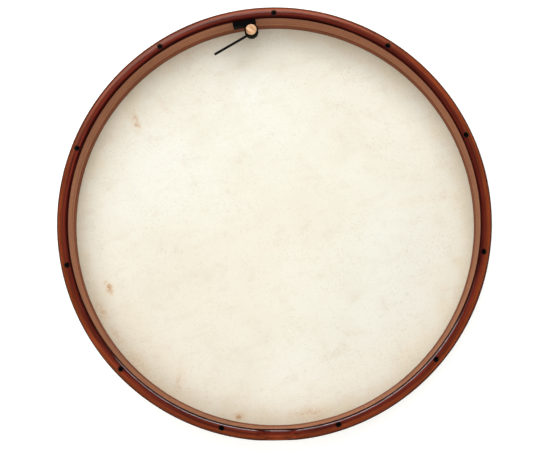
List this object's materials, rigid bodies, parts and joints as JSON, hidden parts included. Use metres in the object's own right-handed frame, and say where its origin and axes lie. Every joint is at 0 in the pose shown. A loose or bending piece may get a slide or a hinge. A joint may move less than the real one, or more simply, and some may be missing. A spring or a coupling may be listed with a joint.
{
  "type": "frame drum",
  "caption": "Round tunable frame drum: natural skin on a lacquered wooden shell with a grip scoop, an inner tuning ring pushed by set screws, and a tuning key in its holder.",
  "frame": {"origin": "centre of the skin's outer face, on the drum's axis, which is also the surface that the drum lies on", "axes": "+Z along the drum's axis, from the skin to the open rear edge; +Y towards the key holder; +X to the right of someone who looks into the open side with the key holder at the top"},
  "size_m": [0.5616, 0.5616, 0.064],
  "materials": {
    "lacquered_wood": "gloss lacquer outside, matte stain inside",
    "ring_wood": "matte stain",
    "goatskin": "natural, untreated",
    "insert_steel": "black oxide",
    "plate_steel": "zinc plated",
    "black_steel": "black oxide",
    "black_rubber": "moulded, matte",
    "beech": "oiled"
  },
  "bodies": {
    "tuning_ring": {"tuning_ring": "ring_wood", "thrust_plates": "plate_steel", "drumhead": "goatskin"},
    "shell": {"shell": "lacquered_wood", "threaded_inserts": "insert_steel", "key_holder": "black_rubber", "holder_screws": "black_steel"},
    "tuning_screw_01": {"tuning_screw_01": "black_steel"},
    "tuning_screw_02": {"tuning_screw_02": "black_steel"},
    "tuning_screw_03": {"tuning_screw_03": "black_steel"},
    "tuning_screw_04": {"tuning_screw_04": "black_steel"},
    "tuning_screw_05": {"tuning_screw_05": "black_steel"},
    "tuning_screw_06": {"tuning_screw_06": "black_steel"},
    "tuning_screw_07": {"tuning_screw_07": "black_steel"},
    "tuning_screw_08": {"tuning_screw_08": "black_steel"},
    "tuning_screw_09": {"tuning_screw_09": "black_steel"},
    "tuning_screw_10": {"tuning_screw_10": "black_steel"},
    "tuning_screw_11": {"tuning_screw_11": "black_steel"},
    "tuning_key": {"key_knob": "beech", "key_rod": "black_steel"}
  },
  "joints": [
    {"name": "tuning_slide", "type": "slide", "parent": "tuning_ring", "child": "shell", "axis": [0, 0, 1], "range_m": [-0.001, 0.003], "deforming": ["drumhead"]},
    {"name": "screw_01_turn", "type": "hinge", "parent": "tuning_ring", "child": "tuning_screw_01", "pos_m": [-0.25448, 0.0949, 0.04], "axis": [0, 0, -1], "range_deg": [-360, 1080]},
    {"name": "screw_02_turn", "type": "hinge", "parent": "tuning_ring", "child": "tuning_screw_02", "pos_m": [-0.26566, -0.05647, 0.04], "axis": [0, 0, -1], "range_deg": [-360, 1080]},
    {"name": "screw_03_turn", "type": "hinge", "parent": "tuning_ring", "child": "tuning_screw_03", "pos_m": [-0.19507, -0.18898, 0.04], "axis": [0, 0, -1], "range_deg": [-360, 1080]},
    {"name": "screw_04_turn", "type": "hinge", "parent": "tuning_ring", "child": "tuning_screw_04", "pos_m": [-0.0661, -0.26343, 0.04], "axis": [0, 0, -1], "range_deg": [-360, 1080]},
    {"name": "screw_05_turn", "type": "hinge", "parent": "tuning_ring", "child": "tuning_screw_05", "pos_m": [0.08233, -0.25882, 0.04], "axis": [0, 0, -1], "range_deg": [-360, 1080]},
    {"name": "screw_06_turn", "type": "hinge", "parent": "tuning_ring", "child": "tuning_screw_06", "pos_m": [0.20649, -0.17643, 0.04], "axis": [0, 0, -1], "range_deg": [-360, 1080]},
    {"name": "screw_07_turn", "type": "hinge", "parent": "tuning_ring", "child": "tuning_screw_07", "pos_m": [0.2687, -0.03959, 0.04], "axis": [0, 0, -1], "range_deg": [-360, 1080]},
    {"name": "screw_08_turn", "type": "hinge", "parent": "tuning_ring", "child": "tuning_screw_08", "pos_m": [0.2479, 0.11095, 0.04], "axis": [0, 0, -1], "range_deg": [-360, 1080]},
    {"name": "screw_09_turn", "type": "hinge", "parent": "tuning_ring", "child": "tuning_screw_09", "pos_m": [0.14818, 0.22762, 0.04], "axis": [0, 0, -1], "range_deg": [-360, 1080]},
    {"name": "screw_10_turn", "type": "hinge", "parent": "tuning_ring", "child": "tuning_screw_10", "pos_m": [0.00019, 0.2716, 0.04], "axis": [0, 0, -1], "range_deg": [-360, 1080]},
    {"name": "screw_11_turn", "type": "hinge", "parent": "tuning_ring", "child": "tuning_screw_11", "pos_m": [-0.14785, 0.22783, 0.04], "axis": [0, 0, -1], "range_deg": [-360, 1080]},
    {"name": "key_draw", "type": "slide", "parent": "shell", "child": "tuning_key", "axis": [0, 0, -1], "range_m": [0, 0.018]}
  ],
  "couplings": [
    {"joint": "screw_01_turn", "follows": "tuning_slide", "rad_per_m": 6283.2},
    {"joint": "screw_02_turn", "follows": "tuning_slide", "rad_per_m": 6283.2},
    {"joint": "screw_03_turn", "follows": "tuning_slide", "rad_per_m": 6283.2},
    {"joint": "screw_04_turn", "follows": "tuning_slide", "rad_per_m": 6283.2},
    {"joint": "screw_05_turn", "follows": "tuning_slide", "rad_per_m": 6283.2},
    {"joint": "screw_06_turn", "follows": "tuning_slide", "rad_per_m": 6283.2},
    {"joint": "screw_07_turn", "follows": "tuning_slide", "rad_per_m": 6283.2},
    {"joint": "screw_08_turn", "follows": "tuning_slide", "rad_per_m": 6283.2},
    {"joint": "screw_09_turn", "follows": "tuning_slide", "rad_per_m": 6283.2},
    {"joint": "screw_10_turn", "follows": "tuning_slide", "rad_per_m": 6283.2},
    {"joint": "screw_11_turn", "follows": "tuning_slide", "rad_per_m": 6283.2}
  ]
}
